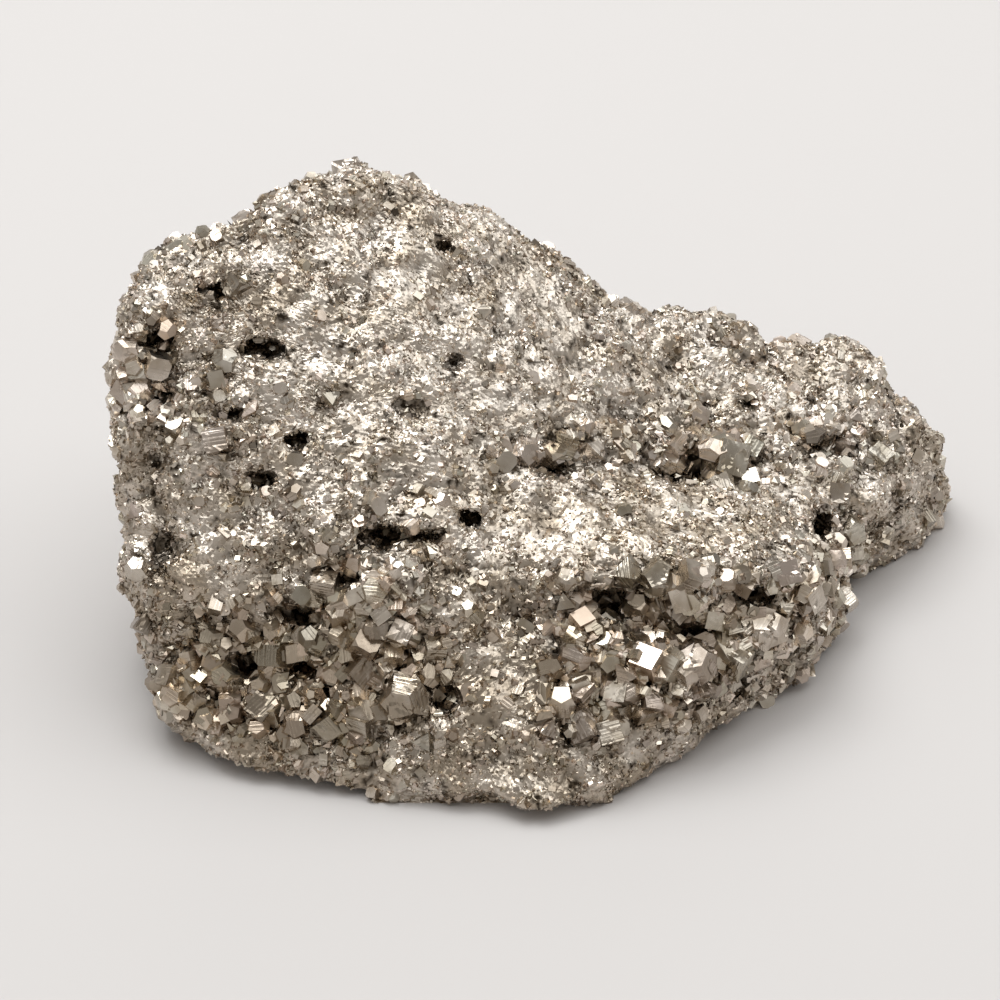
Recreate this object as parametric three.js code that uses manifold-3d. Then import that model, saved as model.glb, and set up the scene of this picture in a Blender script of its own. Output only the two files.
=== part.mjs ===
// A natural pyrite cluster: one lump of intergrown pyrite, with flat-faced crystals, knobs, ledges and pits.
// Units are millimetres, +Z is up, and the lump's long side runs along X with its best face towards -Y.
import * as THREE from "three";
import { ConvexGeometry } from "three/addons/geometries/ConvexGeometry.js";
import { ConvexHull } from "three/addons/math/ConvexHull.js";
import { SimplexNoise } from "three/addons/math/SimplexNoise.js";
import { mergeVertices } from "three/addons/utils/BufferGeometryUtils.js";
import Module from "manifold-3d";

// The lump is three blocks grown into each other.
// Corners are [right, back, up] from the lump's left front foot.
const TALL_BLOCK = [
  [27, 49.5, 49],
  [17, 46.5, 46],
  [5, 38, 43.5],
  [-1, 32.5, 43.5],
  [34, 48, 42.5],
  [46, 47, 34],
  [57, 48, 28],
  [0, 32, 34],
  [0.6, 25, 18],
  [2.2, 16, 5],
  [6, 6.5, 0.5],
  [14, 5, 1],
  [38, -4, -1.5],
  [50, 1, -1.5],
  [11, 21, 27],
  [13, 12.5, 16.5],
  [40, 23, 25.5],
  [40, 14.5, 19.5],
  [35, 3.5, 7],
  [60, 36, 20.5],
  [60, 12, -1.5],
  [4, 46, 33],
  [2.5, 45, 18],
  [4, 50, -1.5],
  [14, 60, 30],
  [28, 63, 28],
  [30, 66, 4],
  [12, 60, -1.5],
  [56, 62, 17],
  [56, 64, -1.5],
];
const FRONT_LOBE = [
  [44, 20, 21.5],
  [54.5, 30, 21],
  [67, 33, 18],
  [75, 33, 13.5],
  [46, 14.5, 20.5],
  [62, 16.5, 19],
  [72.5, 21, 15],
  [40, -5.5, -1.5],
  [46, -4.5, -1.5],
  [51, 3.5, -1.5],
  [60.5, 12.5, -1],
  [71.5, 23, 0],
  [76, 27.5, 0.5],
  [78, 32.5, 0.5],
  [77, 37, -1.5],
  [50, 35, -1.5],
  [52, 7.5, 11],
  [63, 13.5, 10],
  [74, 22, 8],
];
const RIGHT_LOBE = [
  [52, 50, 27.5],
  [59, 53, 27.4],
  [68.5, 53.5, 24.2],
  [77, 53.5, 20.8],
  [83.5, 52.5, 17],
  [86.5, 51, 13.5],
  [89, 50, 5],
  [89, 50, -1],
  [81, 40, -1.5],
  [84.5, 44.5, -1.5],
  [80, 38, 9.5],
  [75, 33, 12.5],
  [67, 33.5, 17.5],
  [50, 36, 23.5],
  [50, 36, -1.5],
  [50, 62, -1.5],
  [79, 62, -1.5],
  [88, 55, -1.5],
  [62, 61, 17],
  [78, 60, 12],
];
const EDGE_SHARPNESS = 22;
const BLOCK_BLEND = 1;

// The skin over the blocks, and the lumps on it as [wavelength, height].
const HEART = new THREE.Vector3(44, 33, 13);
const SKIN_DETAIL = 11;
const SKIN_STRETCH = new THREE.Vector3(1.5, 1.2, 1);
const FARTHEST = 80;
const LUMPS = [
  [24, 0.5],
  [11, 0.8],
  [6, 0.6],
];

// The best face is seen from the front at this height.
// Its places are [right, up] on a plane square to that view.
const BEST_VIEW_DEG = 35;
const BEST_VIEW_AIM = new THREE.Vector3(40, 18, 25.5);

// Bulges and hollows of the best face: place, then half width, half height, and how far the skin rises.
const SWELLS = [
  [-10, -8.5, 6, 5, 1.4],
  [-1, -9, 6, 5, 1],
  [-23, -17, 9, 4, -2.2],
  [-28, -8, 9, 4, 1.2],
  [19, -12, 10, 2.8, -2.4],
  [18, -7.4, 12, 2.6, 1.6],
  [20, -18, 10, 4, 1.2],
  [0, -20, 5, 9, 1],
  [-10, -19, 3.5, 4, 1],
  [-23, 15.5, 5, 3, -1.2],
  [-22, 8, 5, 3, -1.2],
  [37, 13, 5, 4, 0.3],
  [33, -2, 2.6, 6, -1.6],
  [38, 2, 4, 6, 1],
  [5, 4, 6, 1.8, -1.2],
  [20, 3.8, 6, 2, -1.4],
  [-27.5, 27.5, 5, 3.5, -1.6],
  [7.5, 23, 4, 3, -0.8],
  [30, 17, 4, 3, -0.9],
  [4, -30, 6, 3, 1.2],
];

// Round knobs on the best face and along its rim: place, then how far across.
const KNOBS = [
  [17.8, 18.4, 5.6],
  [22, 17.6, 5],
  [26.5, 16.2, 6.4],
  [31, 14.6, 4.4],
  [35.2, 13.8, 6.8],
  [40, 11, 6.4],
  [43.2, 1.5, 6],
  [38.6, -1, 6],
  [-36.8, 20.4, 7.6],
  [-32.3, 24.2, 6],
  [-37.4, 5.4, 5],
  [-36, 8.6, 5],
  [-22.6, 29, 7],
  [-14.5, 31, 6.4],
  [-10.5, -8, 10],
  [-17.5, -3.4, 8],
];

// Pits of the best face: place, then width, height and depth.
const PITS = [
  [-11.4, -3.8, 6.5, 2.6, 6],
  [-7.6, -3.6, 6, 1.8, 5],
  [-3, -1.8, 3, 2, 3.5],
  [-20.7, -11.3, 6.5, 3.4, 4.5],
  [-25.5, -16.8, 5, 3.4, 6],
  [-20, -16.8, 6, 2.2, 3.5],
  [-16.9, -19.3, 2.8, 3, 5],
  [-5.4, -20, 2, 5, 3.5],
  [-33.5, -4.5, 4, 3.4, 3],
  [19.5, -13.3, 7, 3, 5.5],
  [25.6, -9.9, 5.5, 2.2, 5],
  [11.4, -10.4, 6, 3.4, 4],
  [25, -19.2, 4, 2, 2.5],
  [-24.2, 15.2, 6, 2.4, 3.5],
  [-29, 21.1, 4, 1.8, 3],
  [-35, 15.8, 4, 2.4, 3.5],
  [-34.2, 10.2, 3.4, 1.8, 3],
  [-27, 8.8, 4.4, 2.2, 3.5],
  [-20.2, 6, 4, 2.2, 3.5],
  [-23.9, 2, 3.6, 1.6, 3],
  [35.3, 5.7, 6, 3.6, 4],
  [33.4, -2.3, 3.2, 5, 4.5],
  [36.2, -8.4, 3, 2.4, 3],
  [26.2, 10.1, 3, 1.8, 2.5],
  [20.6, 4.2, 3, 4.4, 3.5],
  [4.4, 3.6, 4, 1.8, 2.5],
  [-4.8, 13.9, 2.6, 2.2, 2.5],
  [-5.5, 26, 2.6, 1.6, 2.2],
  [-9, 9.5, 3.6, 2.2, 2.5],
];

// Crystals of the best face: place, then how far across. The forms that pyrite grows in take turns.
const CRYSTALS = [
  // Foot of the tall block.
  [-9.5, -19.8, 5],
  [-14.1, -17.1, 3.4],
  [-17.5, -8.5, 3.2],
  [-18.5, -9.9, 3],
  [-12.6, -13, 3.2],
  [-9.8, -13.4, 2.8],
  [-6.5, -15, 2.6],
  [-21.5, -14, 2.8],
  [-18.6, -14.4, 2.6],
  [-24.3, -20.9, 3],
  [-27.2, -20.2, 2.8],
  [-30.5, -20, 2.8],
  [-20.5, -22.6, 3.2],
  [-17, -22.6, 2.8],
  [-13.9, -22.4, 2.8],
  [-7.5, -24, 2.8],
  [-29, -14, 2.6],
  [-15.8, -10.4, 2.6],
  // Ledge of the front lobe and the hollow under it.
  [19.6, -8.4, 5.4],
  [13, -7.2, 4.2],
  [16, -7.5, 3.8],
  [16.4, -10, 3],
  [18.4, -11.2, 2.8],
  [23.6, -13.1, 3],
  [27.4, -13.1, 4.4],
  [29.2, -7.5, 3],
  [31.8, -10.1, 3],
  [6.7, -10.3, 2.8],
  [6.5, -7.8, 2.4],
  // Face of the front lobe.
  [8.5, -22.7, 3.6],
  [8.2, -19.5, 3],
  [12.6, -17.4, 3.4],
  [12.9, -19.2, 2.8],
  [15, -20.4, 2.8],
  [11, -23.3, 3],
  [4.5, -23, 3],
  [19.7, -16.4, 4.6],
  [20, -19, 2.8],
  [24, -16.2, 3.2],
  [32.5, -14.5, 2.8],
  // Groove behind the terrace.
  [2.8, 4.8, 3.6],
  [23.6, 4.5, 4.4],
  [6.5, 5.7, 3],
  [9.7, 5, 3.4],
  [17.3, 3.8, 2.6],
  [19.7, 3.7, 2.6],
  [26.4, 5.5, 2.4],
  [9, 7.6, 2.4],
  // Right lobe.
  [36.8, -3.2, 3.8],
  [36.4, 5.7, 2.6],
  [35.6, 0.8, 2.6],
  [32.6, 7, 2.4],
  [34.9, -6.2, 2.8],
  [40.8, -4, 2.4],
  [40, 4.5, 2.8],
  [37.5, 9, 2.4],
  // Left end.
  [-37.6, 15.1, 3],
  [-37.6, 12.4, 2.8],
  [-37, 10.8, 2.6],
  [-28.5, 17.6, 2.6],
  [-27.6, 14, 2.6],
  [-26.6, 21.6, 2.4],
  [-28.4, 5.9, 3],
  [-36.8, -1, 2.8],
  [-36.6, -7, 2.6],
  [-36, -12.5, 3],
  [-33.5, -18, 2.8],
  [-17, 10.1, 2.4],
];

// Knobs, crystals and pits of the other sides, spread by chance.
const SIDE_KNOBS = 7;
const SIDE_KNOB_SIZES = [6, 10];
const SIDE_CRYSTALS = 26;
const SIDE_CRYSTAL_SIZES = [2.4, 4];
const SIDE_PITS = 9;
const SIDE_PIT_SIZES = [2.5, 5.5];
const SIDE_LOWEST = 2;
const MOST_FACING_VIEWER = 0.1;

const CRYSTAL_SUNK_SHARE = 0.12;
const KNOB_SUNK_SHARE = 0.32;
const KNOB_UNEVENNESS = [0.86, 1.12];
const FLOOR_DEPTH = 20;
const FLOOR_WIDTH = 300;
const SAME_POINT = 1e-4;
const SEED = 20;

const wasm = await Module();
wasm.setup();

// A repeatable random number from 0 to 1.
function randomFrom(seed) {
  let state = seed;
  return () => {
    state = (state * 16807) % 2147483647;
    return state / 2147483647;
  };
}

const random = randomFrom(SEED);
const noise = new SimplexNoise({ random });
const between = ([low, high]) => low + (high - low) * random();

// How deep a point lies inside a block with rounded edges, in millimetres; negative is outside.
function roundedBlock(corners) {
  const points = corners.map((c) => new THREE.Vector3(...c));
  const middle = points.reduce((sum, p) => sum.add(p), new THREE.Vector3()).divideScalar(points.length);
  const sameFace = 0.999;
  const faces = [];
  for (const face of new ConvexHull().setFromPoints(points).faces) {
    if (faces.every((f) => f.normal.dot(face.normal) < sameFace)) {
      faces.push({ normal: face.normal.clone(), reach: -face.distanceToPoint(middle) });
    }
  }
  const meanReach = faces.reduce((sum, f) => sum + f.reach, 0) / faces.length;
  const offset = new THREE.Vector3();
  return (point) => {
    offset.subVectors(point, middle);
    let sum = 0;
    for (const f of faces) {
      sum += Math.max(0, f.normal.dot(offset) / f.reach) ** EDGE_SHARPNESS;
    }
    return (1 - sum ** (1 / EDGE_SHARPNESS)) * meanReach;
  };
}

const blocks = [TALL_BLOCK, FRONT_LOBE, RIGHT_LOBE].map(roundedBlock);

function depthInside(point) {
  const depths = blocks.map((block) => block(point) / BLOCK_BLEND);
  const most = Math.max(...depths);
  return BLOCK_BLEND * (most + Math.log(depths.reduce((sum, d) => sum + Math.exp(d - most), 0)));
}

const viewTurn = new THREE.Quaternion().setFromEuler(
  new THREE.Euler(THREE.MathUtils.degToRad(90 - BEST_VIEW_DEG), 0, 0),
);

// How far the lumps and swells raise the skin at a point.
function riseAt(point) {
  let rise = 0;
  for (const [wavelength, height] of LUMPS) {
    const [x, y, z] = point.toArray().map((v) => v / wavelength);
    rise += height * noise.noise3d(x, y, z);
  }
  const seen = point.clone().sub(BEST_VIEW_AIM).applyQuaternion(viewTurn.clone().invert());
  for (const [right, up, halfWidth, halfHeight, height] of SWELLS) {
    const away = ((seen.x - right) / halfWidth) ** 2 + ((seen.y - up) / halfHeight) ** 2;
    rise += height * Math.exp(-away);
  }
  return rise;
}

// The lumpy outermost point of the blocks in one direction from the lump's heart, cut off flat at the base.
function skinPoint(direction) {
  const point = new THREE.Vector3();
  const at = (r) => point.copy(HEART).addScaledVector(direction, r);
  let outer = FARTHEST;
  while (depthInside(at(outer)) < 0) outer -= 1;
  let inner = outer;
  outer += 1;
  const halvings = 20;
  for (let i = 0; i < halvings; i++) {
    const r = (inner + outer) / 2;
    if (depthInside(at(r)) < 0) outer = r;
    else inner = r;
  }
  const raised = inner + riseAt(at(inner));
  const floor = direction.z < 0 ? -HEART.z / direction.z : FARTHEST;
  return at(Math.min(raised, floor)).clone();
}

// Only the corner points of a geometry, each kept once.
function bare(geometry) {
  geometry.deleteAttribute("normal");
  geometry.deleteAttribute("uv");
  return mergeVertices(geometry, SAME_POINT);
}

function skin() {
  const geometry = bare(new THREE.IcosahedronGeometry(1, SKIN_DETAIL));
  const position = geometry.attributes.position;
  const direction = new THREE.Vector3();
  for (let i = 0; i < position.count; i++) {
    direction.fromBufferAttribute(position, i).multiply(SKIN_STRETCH).normalize();
    position.setXYZ(i, ...skinPoint(direction));
  }
  return geometry;
}

function solidOf(geometry) {
  const vertProperties = new Float32Array(geometry.attributes.position.array);
  const triVerts = new Uint32Array(geometry.index.array);
  return new wasm.Manifold(new wasm.Mesh({ numProp: 3, vertProperties, triVerts }));
}

function geometryOf(solid) {
  const { vertProperties, triVerts } = solid.getMesh();
  const geometry = new THREE.BufferGeometry();
  geometry.setAttribute("position", new THREE.BufferAttribute(vertProperties, 3));
  return geometry.setIndex(new THREE.BufferAttribute(triVerts, 1));
}

// Pyrite's twelve-sided form, with its five-cornered faces.
function pyritohedron() {
  const tilt = 1 / 2;
  const points = [];
  for (const a of [-1, 1]) {
    for (const b of [-1, 1]) {
      const long = a * (1 + tilt);
      const short = b * (1 - tilt * tilt);
      points.push([0, long, short], [long, short, 0], [short, 0, long], [a, b, 1], [a, b, -1]);
    }
  }
  return new ConvexGeometry(points.map((p) => new THREE.Vector3(...p).multiplyScalar(1 / (1 + tilt))));
}

const CUBE_HALF = 0.78;
const cube = () => new THREE.BoxGeometry(2 * CUBE_HALF, 2 * CUBE_HALF, 2 * CUBE_HALF);
const octahedron = () => new THREE.OctahedronGeometry(1);
const HABITS = [pyritohedron, cube, cube, octahedron];

function randomTurn() {
  return new THREE.Quaternion(...[0, 1, 2, 3].map(() => random() - 0.5)).normalize();
}

// A form about half sunk in the skin at a hit point.
function sunkForm(geometry, hit, size, sunk) {
  const middle = hit.point.clone().addScaledVector(hit.normal, -sunk);
  const place = new THREE.Matrix4().compose(middle, randomTurn(), size);
  return solidOf(bare(geometry).applyMatrix4(place));
}

function crystal(hit, across, habit) {
  const size = new THREE.Vector3().setScalar(across / 2);
  return sunkForm(HABITS[habit % HABITS.length](), hit, size, CRYSTAL_SUNK_SHARE * across);
}

function knob(hit, across) {
  const geometry = bare(new THREE.IcosahedronGeometry(1, 1));
  const position = geometry.attributes.position;
  for (let i = 0; i < position.count; i++) {
    const corner = new THREE.Vector3().fromBufferAttribute(position, i);
    position.setXYZ(i, ...corner.multiplyScalar(between(KNOB_UNEVENNESS)));
  }
  const size = new THREE.Vector3().setScalar(across / 2);
  return sunkForm(geometry, hit, size, KNOB_SUNK_SHARE * across);
}

// An angular hollow, its depth along the turn's Z.
function pit(point, turn, width, height, depth) {
  const size = new THREE.Vector3(width / 2, height / 2, depth);
  const place = new THREE.Matrix4().compose(point, turn, size);
  return solidOf(bare(new THREE.IcosahedronGeometry(1, 0)).applyMatrix4(place));
}

const ray = new THREE.Raycaster();

// Where a straight line first meets a body's surface.
function hitOn(body, from, along) {
  ray.set(from, along);
  const [hit] = ray.intersectObject(body);
  return { point: hit.point, normal: hit.face.normal.clone() };
}

function onBestFace(body, right, up) {
  const from = new THREE.Vector3(right, up, 2 * FARTHEST).applyQuaternion(viewTurn).add(BEST_VIEW_AIM);
  const along = new THREE.Vector3(0, 0, -1).applyQuaternion(viewTurn);
  return hitOn(body, from, along);
}

// A chance place on the sides and back, away from the best face and the base.
function onOtherSide(body) {
  const towardViewer = new THREE.Vector3(0, 0, 1).applyQuaternion(viewTurn);
  for (;;) {
    const along = new THREE.Vector3(random() - 0.5, random() - 0.5, random() - 0.5);
    along.multiply(SKIN_STRETCH).normalize();
    const from = HEART.clone().addScaledVector(along, 2 * FARTHEST);
    const hit = hitOn(body, from, along.clone().negate());
    const hidden = hit.normal.dot(towardViewer) < MOST_FACING_VIEWER;
    if (hidden && hit.point.z > SIDE_LOWEST) return hit;
  }
}

const add = (body, form) => body.add(form);
const subtract = (body, form) => body.subtract(form);

// The skin with its knobs and pits.
function lump() {
  const out = new THREE.Vector3(0, 0, 1);
  const bareSkin = new THREE.Mesh(skin());
  const hollows = PITS.map(([right, up, width, height, depth]) => {
    const hit = onBestFace(bareSkin, right, up);
    return pit(hit.point, viewTurn, width, height, depth);
  });
  for (let i = 0; i < SIDE_PITS; i++) {
    const hit = onOtherSide(bareSkin);
    const turn = new THREE.Quaternion().setFromUnitVectors(out, hit.normal);
    const across = between(SIDE_PIT_SIZES);
    hollows.push(pit(hit.point, turn, across, across / 2, across / 2));
  }
  const knobs = KNOBS.map(([right, up, across]) => knob(onBestFace(bareSkin, right, up), across));
  for (let i = 0; i < SIDE_KNOBS; i++) {
    knobs.push(knob(onOtherSide(bareSkin), between(SIDE_KNOB_SIZES)));
  }
  return hollows.reduce(subtract, knobs.reduce(add, solidOf(bareSkin.geometry)));
}

// The lump with its crystals, which stand on its knobs and in its pits too, cut off flat at the base.
function cluster() {
  const body = lump();
  const surface = new THREE.Mesh(geometryOf(body));
  const crystals = CRYSTALS.map(([right, up, across], i) => {
    const hit = onBestFace(surface, right, up);
    return crystal(hit, across, i);
  });
  for (let i = 0; i < SIDE_CRYSTALS; i++) {
    crystals.push(crystal(onOtherSide(surface), between(SIDE_CRYSTAL_SIZES), i));
  }
  const floor = new THREE.BoxGeometry(FLOOR_WIDTH, FLOOR_WIDTH, FLOOR_DEPTH);
  floor.translate(0, 0, -FLOOR_DEPTH / 2);
  return subtract(crystals.reduce(add, body), solidOf(bare(floor)));
}

// The origin is under the middle of the lump, on its base.
function standOnOrigin(geometry) {
  geometry.computeBoundingBox();
  const middle = geometry.boundingBox.getCenter(new THREE.Vector3());
  return geometry.translate(-middle.x, -middle.y, -geometry.boundingBox.min.z);
}

const pyrite = new THREE.MeshStandardMaterial({ color: 0x9c907c, metalness: 1, roughness: 0.3 });
const mesh = new THREE.Mesh(standOnOrigin(geometryOf(cluster())), pyrite);
mesh.name = "pyrite_cluster";

const group = new THREE.Group();
group.add(mesh);

export default group;
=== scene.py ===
"""The looks of a natural pyrite cluster: its skin, its crystals and its grains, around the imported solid."""
import math

import bmesh
import bpy
import numpy as np
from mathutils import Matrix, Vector, noise


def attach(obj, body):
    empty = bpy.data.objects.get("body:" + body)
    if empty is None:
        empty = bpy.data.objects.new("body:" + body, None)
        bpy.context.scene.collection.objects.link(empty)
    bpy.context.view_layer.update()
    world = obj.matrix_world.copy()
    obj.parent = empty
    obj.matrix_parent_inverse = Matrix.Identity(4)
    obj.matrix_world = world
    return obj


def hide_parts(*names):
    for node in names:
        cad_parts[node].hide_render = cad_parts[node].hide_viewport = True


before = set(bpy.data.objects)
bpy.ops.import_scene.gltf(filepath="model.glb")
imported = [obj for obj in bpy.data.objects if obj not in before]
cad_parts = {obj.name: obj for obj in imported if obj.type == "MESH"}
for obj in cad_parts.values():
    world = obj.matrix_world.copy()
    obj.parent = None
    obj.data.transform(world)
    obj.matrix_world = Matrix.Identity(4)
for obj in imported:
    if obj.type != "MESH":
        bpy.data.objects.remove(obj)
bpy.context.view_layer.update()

NODE = "pyrite_cluster"
BODY = "root"
MM = 0.001
SEED = 11

# The camera looks along +Y and down, at a point on the lump's best face.
VIEW_HEIGHT = math.radians(35)
VIEW_DISTANCE = 0.5
VIEW_AIM = np.array([-4.16, -13.59, 25.5]) * MM
VIEW_WIDTH = 0.1
SENSOR_WIDTH_MM = 36
TO_RIGHT = np.array([1, 0, 0])
TO_TOP = np.array([0, math.sin(VIEW_HEIGHT), math.cos(VIEW_HEIGHT)])
TO_VIEWER = np.array([0, -math.cos(VIEW_HEIGHT), math.sin(VIEW_HEIGHT)])

# The skin: how fine its triangles are, how far it lies under its grains, its lumps, knobs and flat cells
# as (size, height), and how strong these are where it is fine and where it is coarse.
SKIN_EDGE = 0.58 * MM
SKIN_SUNK = (0.15 * MM, 0.5 * MM)
SKIN_SMOOTHING = 7
SKIN_LUMPS = ((6.0 * MM, 0.5 * MM), (2.8 * MM, 0.35 * MM), (1.3 * MM, 0.25 * MM))
SKIN_KNOBS = ((5.2 * MM, 1.5 * MM), (2.4 * MM, 0.6 * MM))
SKIN_CELLS = ((3.2 * MM, 0.3 * MM), (1.5 * MM, 0.22 * MM))
SKIN_JITTER = 0.03 * MM
BASE_TOP = 0.02 * MM
SAME_PLACE_DIGITS = 7
FACETS_WHERE_FINE = 0.4
KNOBS_WHERE_FINE = 0.55
KNOBS_FROM_COARSE = 0.6
KNOB_MEAN_FALL = 0.33
CELL_TURNS = np.array([127.1, 311.7, 74.7])
CELL_TURN_MIX = 43.3

# What makes a place dark, as painted shade: lying below its surroundings, widely or closely, a coarse skin,
# or a small gap.
HOLLOW_ROUNDS = 90
HOLLOW_DEPTHS = (0.3 * MM, 2.3 * MM)
HOLLOW_ROUGHNESS = 0.9 * MM
CREVICE_ROUNDS = 16
CREVICE_DEPTH = 0.7 * MM
# Painted shade on the skin between crystals, stronger where it is coarse.
COARSE_PAINTED_SHADE = 0.65
GAP_SIZES = (1.3 * MM, 0.6 * MM)
# The noise range over which gaps get painted shade, from none to full.
GAP_SHADE_NOISE = (0.36, 0.6)
GAP_NOISE_SHARE = 0.75

# Edges that tell a crystal of the solid from its skin, and how uneven a crystal's faces are.
CREASE_ANGLE = math.radians(16)
CORNER_ANGLE = math.radians(46)
CORNERS_LEAST = 2
CORNER_SHARE = 0.12
CRYSTAL_AREA_MOST = 60 * MM * MM
FACE_STEP = (1.7 * MM, 0.2 * MM)
SAME_FACE_COSINE = 0.9
SIDE_FACE_COSINE = 0.5

# Zones of the best face: right, up, half width, half height in mm, and how much coarser, knobbier
# or more tarnished and shaded than the rest; the shade is painted shade.
COARSE_ZONES = (
    (-19, -17, 13, 7, 1.0),
    (-30, -20, 6, 4, 0.5),
    (18, -14, 13, 7, 0.9),
    (8, -20, 5, 6, 0.8),
    (6, 5, 6, 2.5, 0.9),
    (22, 4.5, 7, 3, 0.9),
    (35, 6, 3.5, 3, 0.6),
    (36, -7, 3, 4, 0.6),
    (-36.5, 13, 3, 5, 0.7),
    (-12, -9, 8, 4, 0.4),
    (-26, 11, 6, 6, 0.2),
    (-3, 15, 17, 14, -0.6),
    (16, -1, 14, 4, -0.7),
    (-28, -7, 9, 5, -0.6),
    (1, -18, 5, 10, -0.5),
    (14, -27, 20, 4, -0.5),
    (-27, -24, 8, 3, -0.5),
    (40, 2, 4, 7, -0.3),
)
KNOB_ZONES = (
    (-37, 3, 5, 22, 0.9),
    (-30, 25, 13, 5, 0.9),
    (25, 18, 13, 4, 1.2),
    (43, 5, 5, 10, 0.8),
)
# Tarnish and painted shade: darker metal low on the front, most on the lower left, lighter metal on the top
# and the right end.
TARNISH_AND_SHADE_ZONES = (
    (-19, -18, 17, 9, 0.75),
    (18, -15, 14, 8, 0.3),
    (-28, -5, 9, 8, 0.15),
    (4, -22, 9, 9, 0.3),
    (16, -1, 14, 5, 0.25),
    (-3, 16, 20, 14, -0.15),
    (33, 5, 9, 9, -0.2),
)

# Patches by chance: their sizes, and how much the coarseness and the grains change with them.
COARSE_PATCH = 11 * MM
COARSE_MEAN = 0.3
COARSE_SWING = 0.35
GRAIN_PATCH = 4 * MM
GRAIN_PATCH_MEAN = 0.5
GRAIN_PATCH_SWING = 1.8
GRAIN_PATCH_LEAST = 0.25

# Small crystals: how many, how far across, how far they stand out, and where they grow.
CRYSTAL_COUNT = 6500
CRYSTAL_SIZES = (0.9 * MM, 3.2 * MM)
CRYSTAL_SIZE_SPREAD = (1.3, 2.6)
CRYSTAL_SIZE_WHERE_FINE = 0.35
CRYSTAL_SIZE_FROM_COARSE = 0.75
CRYSTAL_LIFT = (-0.42, -0.04)
CRYSTALS_WHERE_FINE = 0.06
CRYSTALS_IN_HOLLOWS = 0.5
CRYSTAL_HOLLOW_SHADE = 0.7

# Grains: the same, with one range of sizes where the skin is fine and one where it is coarse.
GRAIN_COUNT = 50000
FINE_GRAINS = (0.3 * MM, 0.75 * MM)
COARSE_GRAINS = (0.45 * MM, 1.1 * MM)
GRAIN_SIZE_SPREAD = (1.2, 2.6)
GRAIN_LIFT = (-0.2, 0.08)
GRAINS_WHERE_COARSE = 0.5
GRAINS_LOST_IN_DEPTH = 0.7

# The forms of crystals and grains, and how much each one varies in shape, tone and tint.
BROKEN_FORMS = 6
BROKEN_RADIUS = 0.95
GRAIN_CORNERS = 7
CRYSTAL_CORNERS = 11
STRETCH = (0.75, 1.25)
TONE_MEAN, TONE_SPREAD = 1, 0.16
TONE_LIMITS = (0.55, 1.35)
LARGE_TONE_MEAN, LARGE_TONE_SPREAD = 0.82, 0.1
LARGE_TONE_LIMITS = (0.6, 1.05)
TINT_SPREAD = (2, 2)
MAP_CELL_SHARE = 0.35

# The pieces that the skin and the grains are cut into.
SKIN_PIECES = ("skin_front", "skin_back")
GRAIN_PIECES = ("grains_front_left", "grains_front_right", "grains_back_left", "grains_back_right")

# The metal: its colours, how fine its tarnish, polish, flakes and stripes are, and for each kind of piece
# its roughness and how far its flakes tilt.
BRIGHT_METAL = (0.65, 0.605, 0.555, 1)
# Tarnished metal, which is also the painted shade of the tarnish zones.
TARNISHED_AND_SHADED_METAL = (0.41, 0.355, 0.29, 1)
# Near-black painted shade for recesses, crevices, gaps and the low parts of a coarse skin.
PAINTED_SHADE_METAL = (0.045, 0.033, 0.022, 1)
OLIVE_TINT = (0.97, 0.985, 0.92, 1)
ROSY_TINT = (1.06, 0.97, 0.94, 1)
TARNISH_SCALE = 260
TARNISH_EDGES = (0.35, 0.62)
POLISH_SCALE = 700
POLISH_EDGES = (0.3, 0.7)
FLAKE_SCALE = 4200
SKIN_ROUGHNESS, SKIN_FLAKE_TILT = (0.2, 0.42), 0.32
CRYSTAL_ROUGHNESS, CRYSTAL_FLAKE_TILT = (0.18, 0.4), 0.06
GRAIN_ROUGHNESS, GRAIN_FLAKE_TILT = (0.16, 0.36), 0.12
STRIPE_SCALE = 3600
STRIPE_DEPTH = 0.08 * MM
STRIPE_STRENGTH = 0.7

# The stage: the floor, the room's light, and the lights as name, place, width, height and power in watts.
FLOOR_COLOUR = (0.545, 0.52, 0.505, 1)
FLOOR_ROUGHNESS = 0.9
FLOOR_REACH = 3.0
ROOM_COLOUR = (1, 0.965, 0.92, 1)
ROOM_STRENGTH = 0.44
LIGHT_AIM = (0, 0, 0.02)
LIGHT_COLOUR = (0.95, 0.98, 1)
LIGHTS = (
    ("overhead", (0, 0.15, 0.9), 1.4, 1.2, 8.9),
    ("key", (-0.15, 0.15, 0.6), 0.32, 0.32, 1.5),
    ("back", (0.1, 0.9, 0.45), 0.9, 0.5, 1.4),
    ("left", (-0.7, -0.2, 0.4), 0.4, 0.4, 0.3),
    ("right", (0.75, 0.1, 0.5), 0.4, 0.4, 0.8),
)

chance = np.random.default_rng(SEED)


def unit(vectors):
    length = np.linalg.norm(vectors, axis=-1, keepdims=True)
    return vectors / np.maximum(length, 1e-12)


def solid_triangles():
    """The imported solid's corner points, each kept once, and its triangles."""
    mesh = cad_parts[NODE].data
    mesh.calc_loop_triangles()
    points = np.empty(len(mesh.vertices) * 3, np.float32)
    mesh.vertices.foreach_get("co", points)
    triangles = np.empty(len(mesh.loop_triangles) * 3, np.int32)
    mesh.loop_triangles.foreach_get("vertices", triangles)
    rounded = np.round(points.reshape(-1, 3).astype(float), SAME_PLACE_DIGITS)
    points, index = np.unique(rounded, axis=0, return_inverse=True)
    triangles = index.reshape(-1)[triangles.reshape(-1, 3)]
    whole = (np.diff(np.sort(triangles, axis=1), axis=1) > 0).all(axis=1)
    return points, triangles[whole]


def triangle_normals(points, triangles):
    a, b, c = (points[triangles[:, i]] for i in range(3))
    return np.cross(b - a, c - a)


def point_normals(points, triangles):
    across = triangle_normals(points, triangles)
    total = np.zeros_like(points)
    for i in range(3):
        np.add.at(total, triangles[:, i], across)
    return unit(total)


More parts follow.
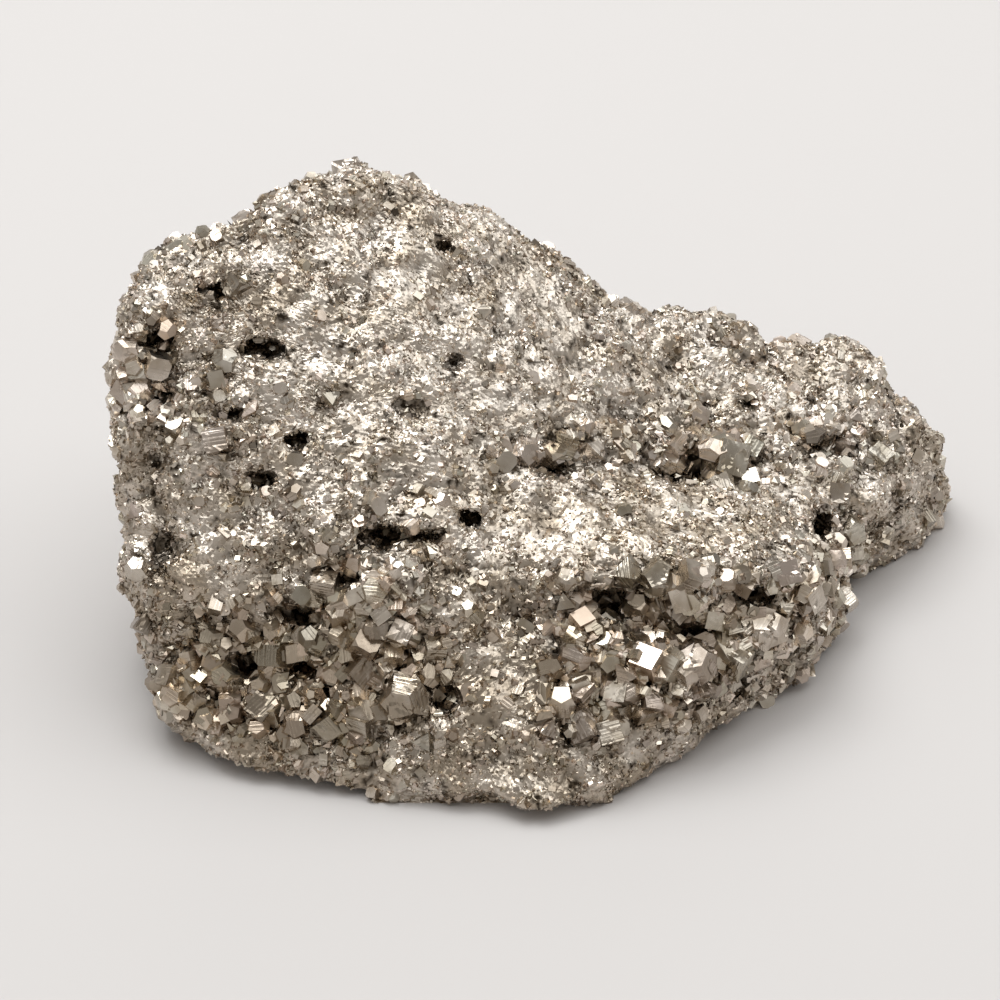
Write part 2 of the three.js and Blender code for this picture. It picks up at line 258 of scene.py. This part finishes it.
def edge_table(triangles, point_count):
    """Each edge's two points, and for each triangle the numbers of its edges 01, 12 and 20."""
    ends = np.stack([triangles, np.roll(triangles, -1, axis=1)], axis=2).reshape(-1, 2)
    ends.sort(axis=1)
    keys, index = np.unique(ends[:, 0] * point_count + ends[:, 1], return_inverse=True)
    return np.stack([keys // point_count, keys % point_count], axis=1), index.reshape(-1, 3)


def crystal_numbers(points, triangles):
    """For each triangle of the solid the number of its crystal, or -1 on the skin.

    A crystal is a small part that meets the skin along a crease and has sharp edges of its own."""
    across = triangle_normals(points, triangles)
    area = np.linalg.norm(across, axis=1) / 2
    normal = unit(across)
    middle = points[triangles].mean(axis=1)
    _, of_triangle = edge_table(triangles, len(points))
    order = np.argsort(of_triangle.reshape(-1), kind="stable")
    first, second = (order // 3).reshape(-1, 2).T
    turn = np.arccos(np.clip((normal[first] * normal[second]).sum(axis=1), -1, 1))
    convex = ((middle[second] - middle[first]) * normal[first]).sum(axis=1) < 0
    joined = convex | (turn < CREASE_ANGLE)
    part = np.arange(len(triangles))
    while True:
        lowest = np.minimum(part[first], part[second])[joined]
        merged = part.copy()
        np.minimum.at(merged, first[joined], lowest)
        np.minimum.at(merged, second[joined], lowest)
        merged = merged[merged]
        if (merged == part).all():
            break
        part = merged
    part_area = np.bincount(part, area, len(triangles))
    inner = np.bincount(part[first], joined, len(triangles))
    corners = np.bincount(part[first], joined & convex & (turn > CORNER_ANGLE), len(triangles))
    is_sharp = (corners >= CORNERS_LEAST) & (corners > CORNER_SHARE * inner)
    is_crystal = (part_area < CRYSTAL_AREA_MOST) & is_sharp
    return np.where(is_crystal[part], part, -1)


def split_long_edges(points, triangles, kind):
    """Halves every edge longer than the skin's edge length, apart from those of the flat base."""
    while True:
        edges, of_triangle = edge_table(triangles, len(points))
        length = np.linalg.norm(points[edges[:, 0]] - points[edges[:, 1]], axis=1)
        on_base = (points[edges][:, :, 2] < BASE_TOP).all(axis=1)
        long = (length > SKIN_EDGE) & ~on_base
        if not long.any():
            return points, triangles, kind
        new_point = np.full(len(edges), -1)
        new_point[long] = len(points) + np.arange(long.sum())
        points = np.vstack([points, points[edges[long]].mean(axis=1)])
        halves = new_point[of_triangle]
        count = (halves >= 0).sum(axis=1)
        made = [(triangles[count == 0], kind[count == 0])]
        for splits in (1, 2, 3):
            chosen = np.nonzero(count == splits)[0]
            if splits == 1:
                shift = np.argmax(halves[chosen] >= 0, axis=1)
            else:
                shift = (np.argmin(halves[chosen], axis=1) + 1) % 3
            order = (np.arange(3) + shift[:, None]) % 3
            a, b, c = np.take_along_axis(triangles[chosen], order, axis=1).T
            ab, bc, ca = np.take_along_axis(halves[chosen], order, axis=1).T
            pieces = {
                1: ((a, ab, c), (ab, b, c)),
                2: ((ab, b, bc), (a, ab, bc), (a, bc, c)),
                3: ((a, ab, ca), (ab, b, bc), (ca, bc, c), (ab, bc, ca)),
            }[splits]
            made += [(np.stack(piece, axis=1), kind[chosen]) for piece in pieces]
        triangles = np.vstack([t for t, _ in made])
        kind = np.concatenate([k for _, k in made])


def smoothed(points, triangles, free, rounds):
    """Points that are free to move, each drawn to the mean of its neighbours, as often as asked."""
    edges, _ = edge_table(triangles, len(points))
    start, end = edges.T
    count = np.bincount(edges.reshape(-1), minlength=len(points))
    points = points.copy()
    for _ in range(rounds):
        for axis in range(3):
            values = points[:, axis]
            total = np.bincount(start, values[end], len(points))
            total += np.bincount(end, values[start], len(points))
            points[free, axis] = (total / count)[free]
    return points


def sunk_below(points, triangles, out, rounds):
    """How far each point lies below its smoothed surroundings."""
    around = smoothed(points, triangles, np.ones(len(points), bool), rounds)
    return ((around - points) * out).sum(axis=1)


def rough_noise(points, size):
    return np.array([noise.noise(p) for p in points / size])


def cell_facets(points, size, seed):
    """Height of flat tilted cells, one for each cell of a random grid, as a share of the cell's size."""
    shifted = points / size + seed
    nearest = np.array([noise.voronoi(p)[1][0] for p in shifted])
    turn = nearest * CELL_TURNS + nearest.sum(axis=1, keepdims=True) * CELL_TURN_MIX
    tilt = unit(np.sin(turn))
    return ((shifted - nearest) * tilt).sum(axis=1)


def knobs(points, size, seed):
    """Height of round knobs with creases between them, as a share of a knob's height."""
    away = np.array([noise.voronoi(p)[0][0] for p in points / size + seed])
    return KNOB_MEAN_FALL - away ** 2


def in_zones(points, zones):
    """The amounts of these zones at each point, each fading out from the zone's middle."""
    right = (points - VIEW_AIM) @ TO_RIGHT / MM
    top = (points - VIEW_AIM) @ TO_TOP / MM
    total = np.zeros(len(points))
    for zone_right, zone_top, half_width, half_height, amount in zones:
        away = ((right - zone_right) / half_width) ** 2 + ((top - zone_top) / half_height) ** 2
        total += amount * np.exp(-away)
    return total


def coarseness(points):
    """From 0, where the skin is fine-grained, to 1, where it is all larger crystals."""
    patches = COARSE_MEAN + COARSE_SWING * rough_noise(points, COARSE_PATCH)
    return np.clip(patches + in_zones(points, COARSE_ZONES), 0, 1)


def make_mesh(name, points, triangles, values, uv, material):
    """A piece of flat triangles that carries these values at its points."""
    mesh = bpy.data.meshes.new(name)
    mesh.vertices.add(len(points))
    mesh.vertices.foreach_set("co", points.astype(np.float32).reshape(-1))
    mesh.loops.add(triangles.size)
    mesh.loops.foreach_set("vertex_index", triangles.astype(np.int32).reshape(-1))
    mesh.polygons.add(len(triangles))
    mesh.polygons.foreach_set("loop_start", np.arange(0, triangles.size, 3, dtype=np.int32))
    mesh.update(calc_edges=True)
    mesh.shade_flat()
    # Each piece carries the zones' tarnish and painted shade.
    values = {**values, "tarnish_and_shade": in_zones(points, TARNISH_AND_SHADE_ZONES)}
    for label, value in values.items():
        attribute = mesh.attributes.new(label, "FLOAT", "POINT")
        attribute.data.foreach_set("value", value.astype(np.float32))
    layer = mesh.uv_layers.new(name="OFBake")
    layer.data.foreach_set("uv", uv[triangles.reshape(-1)].astype(np.float32).reshape(-1))
    mesh.materials.append(material)
    piece = bpy.data.objects.new(name, mesh)
    bpy.context.scene.collection.objects.link(piece)
    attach(piece, BODY)
    return piece


def round_map(points):
    """A place on the unit square for each direction from the middle of the lump."""
    middle = (points.min(axis=0) + points.max(axis=0)) / 2
    way = points - middle
    way = way / np.abs(way).sum(axis=1, keepdims=True)
    below = way[:, 2] < 0
    flat = way[:, :2].copy()
    flat[below] = (1 - np.abs(way[below][:, 1::-1])) * np.where(way[below][:, :2] < 0, -1, 1)
    return flat / 2 + 0.5


def surface():
    """The lump's fine surface: points, triangles and each triangle's crystal number.

    With them come each point's coarseness, how far it lies in a hollow, and how much painted shade it gets."""
    points, triangles = solid_triangles()
    points, triangles, crystal = split_long_edges(points, triangles, crystal_numbers(points, triangles))
    sharp = np.zeros(len(points), bool)
    sharp[triangles[crystal >= 0]] = True
    base = points[:, 2] < BASE_TOP
    points = smoothed(points, triangles, ~(sharp | base), SKIN_SMOOTHING)
    out = point_normals(points, triangles)
    coarse = coarseness(points)
    shallow, deep = HOLLOW_DEPTHS
    sunk = sunk_below(points, triangles, out, HOLLOW_ROUNDS)
    hollow = np.clip((sunk - shallow) / (deep - shallow), 0, 1)

    low, high = SKIN_SUNK
    height = -(low + (high - low) * coarse)
    for size, lump in SKIN_LUMPS:
        height += lump * rough_noise(points, size)
    for number, (size, step) in enumerate(SKIN_CELLS):
        height += step * (FACETS_WHERE_FINE + coarse) * cell_facets(points, size, number)
    knobby = KNOBS_WHERE_FINE + KNOBS_FROM_COARSE * coarse + in_zones(points, KNOB_ZONES)
    for number, (size, knob) in enumerate(SKIN_KNOBS):
        height += knob * knobby * knobs(points, size, number)
    height += SKIN_JITTER * chance.normal(size=len(points))
    gap_noise = sum(GAP_NOISE_SHARE * rough_noise(points, size) for size in GAP_SIZES)
    height += HOLLOW_ROUGHNESS * hollow * gap_noise
    # Where the gap noise runs high the skin gets painted shade, as dark slits.
    few, all_gap_shade = GAP_SHADE_NOISE
    gap_shade = np.clip((gap_noise - few) / (all_gap_shade - few), 0, 1)
    face_size, face_step = FACE_STEP
    height[sharp] = face_step * cell_facets(points[sharp], face_size, len(SKIN_CELLS))
    height[base] = 0
    points = points + out * height[:, None]
    points[:, 2] = np.maximum(points[:, 2], 0)

    # Painted shade: recesses and crevices darken towards the near-black metal.
    crevice = sunk_below(points, triangles, out, CREVICE_ROUNDS)
    painted_shade = hollow + np.clip(crevice / CREVICE_DEPTH, 0, 1)
    # Painted shade on the skin, more where it is coarse, and in the gaps.
    painted_shade[~sharp] += (COARSE_PAINTED_SHADE * coarse ** 2 + gap_shade)[~sharp]
    return points, triangles, crystal, coarse, hollow, np.clip(painted_shade, 0, 1)


def habit(corners):
    """A crystal form's corner points and outward triangles, from its corners alone."""
    shape = bmesh.new()
    for corner in corners:
        shape.verts.new(corner)
    hull = bmesh.ops.convex_hull(shape, input=shape.verts)
    bmesh.ops.delete(shape, geom=hull["geom_interior"], context="VERTS")
    bmesh.ops.triangulate(shape, faces=shape.faces)
    bmesh.ops.recalc_face_normals(shape, faces=shape.faces)
    shape.verts.index_update()
    points = np.array([v.co for v in shape.verts])
    triangles = np.array([[v.index for v in f.verts] for f in shape.faces])
    shape.free()
    return points, triangles


def signs(*values):
    """Every point that has these coordinates, with either sign of each."""
    points = [()]
    for value in values:
        points = [p + (s * value,) for p in points for s in ((1, -1) if value else (1,))]
    return points


def turned(values):
    """The points of signs for these values in their three cyclic orders."""
    x, y, z = values
    return signs(x, y, z) + signs(z, x, y) + signs(y, z, x)


def broken(corner_count):
    """A broken grain: the hull of a few chance points on a ball."""
    return habit(unit(chance.normal(size=(corner_count, 3))) * BROKEN_RADIUS)


# Crystal forms, from their corners. One unit is half of how far the crystal is across.
CUBE = habit(signs(0.8, 0.8, 0.8))
OCTAHEDRON = habit(turned((1, 0, 0)))
PYRITOHEDRON = habit(signs(2 / 3, 2 / 3, 2 / 3) + turned((0, 1, 0.5)))
CUT_CUBE = habit(turned((0.85, 0.85, 0.45)))
BROKEN_GRAINS = [broken(GRAIN_CORNERS) for _ in range(BROKEN_FORMS)]
BROKEN_CRYSTALS = [broken(CRYSTAL_CORNERS) for _ in range(BROKEN_FORMS)]
GRAIN_HABITS = [CUBE, OCTAHEDRON] + BROKEN_GRAINS
CRYSTAL_HABITS = [CUBE, CUT_CUBE, PYRITOHEDRON, PYRITOHEDRON] + BROKEN_CRYSTALS


def random_turns(count):
    """As many chance turns, each a matrix from a random quaternion."""
    x, y, z, w = unit(chance.normal(size=(count, 4))).T
    return np.stack(
        [
            np.stack([1 - 2 * (y * y + z * z), 2 * (x * y - z * w), 2 * (x * z + y * w)], axis=1),
            np.stack([2 * (x * y + z * w), 1 - 2 * (x * x + z * z), 2 * (y * z - x * w)], axis=1),
            np.stack([2 * (x * z - y * w), 2 * (y * z + x * w), 1 - 2 * (x * x + y * y)], axis=1),
        ],
        axis=1,
    )


def grow(name, places, outward, across, lift, painted_shade, habits, material):
    """A piece of joined crystals at these places."""
    count = len(places)
    which = chance.integers(len(habits), size=count)
    stretch = chance.uniform(*STRETCH, size=(count, 3))
    lifted = chance.uniform(*lift, size=count)
    middles = places + outward * (lifted * across)[:, None]
    turns = random_turns(count)
    tones = chance.normal(TONE_MEAN, TONE_SPREAD, size=count).clip(*TONE_LIMITS)
    tints = chance.beta(*TINT_SPREAD, size=count)
    columns = math.ceil(math.sqrt(count))
    cells = np.stack([np.arange(count) % columns, np.arange(count) // columns], axis=1)
    points, triangles, uv = [], [], []
    values = {"tone": [], "tint": [], "painted_shade": [], "stripe": []}
    start = 0
    for number, (corners, faces) in enumerate(habits):
        chosen = np.nonzero(which == number)[0]
        scaled = corners[None] * (stretch[chosen] * across[chosen, None] / 2)[:, None, :]
        placed = np.einsum("nij,nvj->nvi", turns[chosen], scaled) + middles[chosen, None, :]
        offsets = start + np.arange(len(chosen)) * len(corners)
        points.append(placed.reshape(-1, 3))
        triangles.append((faces[None] + offsets[:, None, None]).reshape(-1, 3))
        for label, value in (("tone", tones), ("tint", tints), ("painted_shade", painted_shade)):
            values[label].append(np.repeat(value[chosen], len(corners)))
        values["stripe"].append(scaled[:, :, 1].reshape(-1))
        local = 0.5 + MAP_CELL_SHARE * corners[:, :2]
        uv.append(((cells[chosen, None, :] + local[None]) / columns).reshape(-1, 2))
        start += len(chosen) * len(corners)
    points = np.vstack(points)
    points[:, 2] = np.maximum(points[:, 2], 0)
    values = {label: np.concatenate(value) for label, value in values.items()}
    make_mesh(name, points, np.vstack(triangles), values, np.vstack(uv), material)


def scatter(points, triangles, weight, count):
    """Chance places on triangles, as many to each as its area times its weight asks."""
    across = triangle_normals(points, triangles)
    share = np.linalg.norm(across, axis=1) * weight
    chosen = chance.choice(len(triangles), size=count, p=share / share.sum())
    a, b, c = (points[triangles[chosen, i]] for i in range(3))
    s, t = chance.uniform(size=(2, count, 1))
    flip = s + t > 1
    s, t = np.where(flip, 1 - s, s), np.where(flip, 1 - t, t)
    return a + s * (b - a) + t * (c - a), chosen


def pyrite(name, roughness, flake_tilt, stripes):
    """The metal, from its patches of tarnish, its zones of tarnish and painted shade, and each crystal's own
    tone, tint, painted shade and stripes.
    """
    material = bpy.data.materials.new(name)
    material.use_nodes = True
    tree = material.node_tree
    shader = tree.nodes["Principled BSDF"]
    shader.inputs["Metallic"].default_value = 1

    def node(kind, **values):
        made = tree.nodes.new(kind)
        for key, value in values.items():
            setattr(made, key, value)
        return made

    def link(source, target):
        tree.links.new(source, target)

    def attribute(label):
        return node("ShaderNodeAttribute", attribute_name=label).outputs["Fac"]

    def mixed(first, second, factor):
        made = node("ShaderNodeMix", data_type="RGBA")
        for socket, value in (("A", first), ("B", second)):
            if isinstance(value, tuple):
                made.inputs[socket].default_value = value
            else:
                link(value, made.inputs[socket])
        link(factor, made.inputs["Factor"])
        return made.outputs["Result"]

    def spread(value, low, high, low_to, high_to):
        made = node("ShaderNodeMapRange")
        limits = {"From Min": low, "From Max": high, "To Min": low_to, "To Max": high_to}
        for socket, limit in limits.items():
            made.inputs[socket].default_value = limit
        link(value, made.inputs["Value"])
        return made.outputs["Result"]

    def vector(operation, first, second):
        made = node("ShaderNodeVectorMath", operation=operation)
        link(first, made.inputs[0])
        link(second, made.inputs["Scale" if operation == "SCALE" else 1])
        return made.outputs["Vector"]

    place = node("ShaderNodeTexCoord").outputs["Object"]

    def cloud(scale, detail):
        made = node("ShaderNodeTexNoise")
        made.inputs["Scale"].default_value = scale
        made.inputs["Detail"].default_value = detail
        link(place, made.inputs["Vector"])
        return made.outputs["Fac"]

    # Bright metal dimmed by patches of tarnish and by the zones' tarnish and painted shade.
    untarnished_unshaded = node("ShaderNodeMath", operation="SUBTRACT", use_clamp=True)
    link(spread(cloud(TARNISH_SCALE, 4), *TARNISH_EDGES, 0, 1), untarnished_unshaded.inputs[0])
    link(attribute("tarnish_and_shade"), untarnished_unshaded.inputs[1])
    metal = mixed(TARNISHED_AND_SHADED_METAL, BRIGHT_METAL, untarnished_unshaded.outputs["Value"])
    tinted = vector("MULTIPLY", metal, mixed(OLIVE_TINT, ROSY_TINT, attribute("tint")))
    toned = vector("SCALE", tinted, attribute("tone"))
    # Painted shade: the metal darkens towards near black as far as its painted shade asks.
    link(mixed(toned, PAINTED_SHADE_METAL, attribute("painted_shade")), shader.inputs["Base Color"])
    link(spread(cloud(POLISH_SCALE, 2), *POLISH_EDGES, *roughness), shader.inputs["Roughness"])

    flakes = node("ShaderNodeTexVoronoi")
    flakes.inputs["Scale"].default_value = FLAKE_SCALE
    link(place, flakes.inputs["Vector"])
    centred = node("ShaderNodeVectorMath", operation="SUBTRACT")
    centred.inputs[1].default_value = (0.5, 0.5, 0.5)
    link(flakes.outputs["Color"], centred.inputs[0])
    tilted = node("ShaderNodeVectorMath", operation="SCALE")
    tilted.inputs["Scale"].default_value = flake_tilt
    link(centred.outputs["Vector"], tilted.inputs[0])
    facing = vector("ADD", node("ShaderNodeNewGeometry").outputs["Normal"], tilted.outputs["Vector"])
    if not stripes:
        link(facing, shader.inputs["Normal"])
        return material
    lines = node("ShaderNodeTexNoise", noise_dimensions="1D")
    lines.inputs["Scale"].default_value = STRIPE_SCALE
    lines.inputs["Detail"].default_value = 1
    link(attribute("stripe"), lines.inputs["W"])
    grooves = node("ShaderNodeBump")
    grooves.inputs["Strength"].default_value = stripes
    grooves.inputs["Distance"].default_value = STRIPE_DEPTH
    link(lines.outputs["Fac"], grooves.inputs["Height"])
    link(facing, grooves.inputs["Normal"])
    link(grooves.outputs["Normal"], shader.inputs["Normal"])
    return material


def area_light(name, place, width, height, power):
    light = bpy.data.lights.new(name, "AREA")
    light.shape = "RECTANGLE"
    light.size = width
    light.size_y = height
    light.energy = power
    light.color = LIGHT_COLOUR
    lamp = bpy.data.objects.new(name, light)
    lamp.location = place
    lamp.rotation_euler = (Vector(LIGHT_AIM) - Vector(place)).to_track_quat("-Z", "Y").to_euler()
    bpy.context.scene.collection.objects.link(lamp)


def stage():
    """The floor, the lights and the camera."""
    floor_mesh = bpy.data.meshes.new("floor")
    signed = ((-1, -1), (1, -1), (1, 1), (-1, 1))
    corners = [(x * FLOOR_REACH, y * FLOOR_REACH, 0) for x, y in signed]
    floor_mesh.from_pydata(corners, [], [(0, 1, 2, 3)])
    floor = bpy.data.objects.new("floor", floor_mesh)
    material = bpy.data.materials.new("floor")
    material.use_nodes = True
    shader = material.node_tree.nodes["Principled BSDF"]
    shader.inputs["Base Color"].default_value = FLOOR_COLOUR
    shader.inputs["Roughness"].default_value = FLOOR_ROUGHNESS
    floor_mesh.materials.append(material)
    bpy.context.scene.collection.objects.link(floor)

    world = bpy.data.worlds.new("studio")
    world.use_nodes = True
    background = world.node_tree.nodes["Background"]
    background.inputs["Color"].default_value = ROOM_COLOUR
    background.inputs["Strength"].default_value = ROOM_STRENGTH
    bpy.context.scene.world = world
    for light in LIGHTS:
        area_light(*light)

    camera = bpy.data.cameras.new("camera")
    camera.sensor_width = SENSOR_WIDTH_MM
    camera.lens = SENSOR_WIDTH_MM * VIEW_DISTANCE / VIEW_WIDTH
    viewer = bpy.data.objects.new("camera", camera)
    viewer.location = VIEW_AIM + VIEW_DISTANCE * TO_VIEWER
    viewer.rotation_euler = (math.pi / 2 - VIEW_HEIGHT, 0, 0)
    bpy.context.scene.collection.objects.link(viewer)
    bpy.context.scene.camera = viewer
    bpy.context.scene.view_settings.view_transform = "Standard"


def skin(points, triangles, painted_shade, material):
    """The skin's front and back half, drawn in place of the solid, which is hidden."""
    uv = round_map(points)
    behind = points[triangles].mean(axis=1)[:, 1] > 0
    for half, name in enumerate(SKIN_PIECES):
        used, index = np.unique(triangles[behind == half], return_inverse=True)
        values = {"tone": np.ones(len(used)), "tint": np.full(len(used), 0.5), "painted_shade": painted_shade[used]}
        piece = make_mesh(name, points[used], index.reshape(-1, 3), values, uv[used], material)
        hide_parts(NODE)


def large_crystals(points, triangles, crystal, painted_shade, material):
    """The solid's own crystals, each with points of its own, a tone, and stripes along its widest face."""
    across = triangle_normals(points, triangles)
    kinds, number = np.unique(crystal, return_inverse=True)
    facing = np.zeros((len(kinds), 3))
    for kind in range(len(kinds)):
        mine = across[number == kind]
        flat = (unit(mine) @ unit(mine).T > SAME_FACE_COSINE) @ np.linalg.norm(mine, axis=1)
        widest = unit(mine[np.argmax(flat)])
        beside = np.abs(unit(mine) @ widest) < SIDE_FACE_COSINE
        facing[kind] = unit(mine[np.argmax(flat * beside)])
    keys, index = np.unique(number[:, None] * len(points) + triangles, return_inverse=True)
    kind, point = keys // len(points), keys % len(points)
    tones = chance.normal(LARGE_TONE_MEAN, LARGE_TONE_SPREAD, size=len(kinds)).clip(*LARGE_TONE_LIMITS)
    tints = chance.beta(*TINT_SPREAD, size=len(kinds))
    values = {
        "tone": tones[kind],
        "tint": tints[kind],
        "painted_shade": painted_shade[point],
        "stripe": (points[point] * facing[kind]).sum(axis=1),
    }
    uv = round_map(points)[point]
    make_mesh("large_crystals", points[point], index.reshape(-1, 3), values, uv, material)


def main():
    stage()
    points, triangles, crystal, coarse, hollow, painted_shade = surface()
    skin_metal = pyrite("pyrite_skin", SKIN_ROUGHNESS, SKIN_FLAKE_TILT, 0)
    crystal_metal = pyrite("pyrite_crystal", CRYSTAL_ROUGHNESS, CRYSTAL_FLAKE_TILT, STRIPE_STRENGTH)
    grain_metal = pyrite("pyrite_grain", GRAIN_ROUGHNESS, GRAIN_FLAKE_TILT, 0)
    on_crystal = crystal >= 0
    skin(points, triangles[~on_crystal], painted_shade, skin_metal)
    large_crystals(points, triangles[on_crystal], crystal[on_crystal], painted_shade, crystal_metal)

    middles = points[triangles].mean(axis=1)
    growing = triangles[~on_crystal & (middles[:, 2] > BASE_TOP)]
    facing = unit(triangle_normals(points, growing))
    middles = points[growing].mean(axis=1)
    coarse = coarse[growing].mean(axis=1)
    hollow = hollow[growing].mean(axis=1)
    painted_shade = painted_shade[growing].mean(axis=1)
    patch_noise = GRAIN_PATCH_MEAN + GRAIN_PATCH_SWING * rough_noise(middles, GRAIN_PATCH)
    patch = np.clip(patch_noise, GRAIN_PATCH_LEAST, 1)

    weight = CRYSTALS_WHERE_FINE + coarse ** 2 + CRYSTALS_IN_HOLLOWS * hollow
    places, chosen = scatter(points, growing, weight, CRYSTAL_COUNT)
    low, high = CRYSTAL_SIZES
    share = chance.beta(*CRYSTAL_SIZE_SPREAD, size=len(places))
    share = share * (CRYSTAL_SIZE_WHERE_FINE + CRYSTAL_SIZE_FROM_COARSE * coarse[chosen])
    across = low + (high - low) * share
    # Crystals in hollows get painted shade.
    shaded = CRYSTAL_HOLLOW_SHADE * hollow[chosen]
    grow("crystals", places, facing[chosen], across, CRYSTAL_LIFT, shaded, CRYSTAL_HABITS, crystal_metal)

    weight = (1 - coarse) * patch + GRAINS_WHERE_COARSE * coarse
    weight = weight * (1 - GRAINS_LOST_IN_DEPTH * painted_shade)
    places, chosen = scatter(points, growing, weight, GRAIN_COUNT)
    fine = chance.uniform(size=len(places)) > coarse[chosen]
    low, high = (np.where(fine, a, b) for a, b in zip(FINE_GRAINS, COARSE_GRAINS))
    across = low + (high - low) * chance.beta(*GRAIN_SIZE_SPREAD, size=len(places))
    right = places[:, 0] > 0
    behind = places[:, 1] > 0
    piece_number = 2 * behind + right
    for number, name in enumerate(GRAIN_PIECES):
        here = piece_number == number
        mine = chosen[here]
        sizes = across[here]
        grow(name, places[here], facing[mine], sizes, GRAIN_LIFT, painted_shade[mine], GRAIN_HABITS, grain_metal)


main()
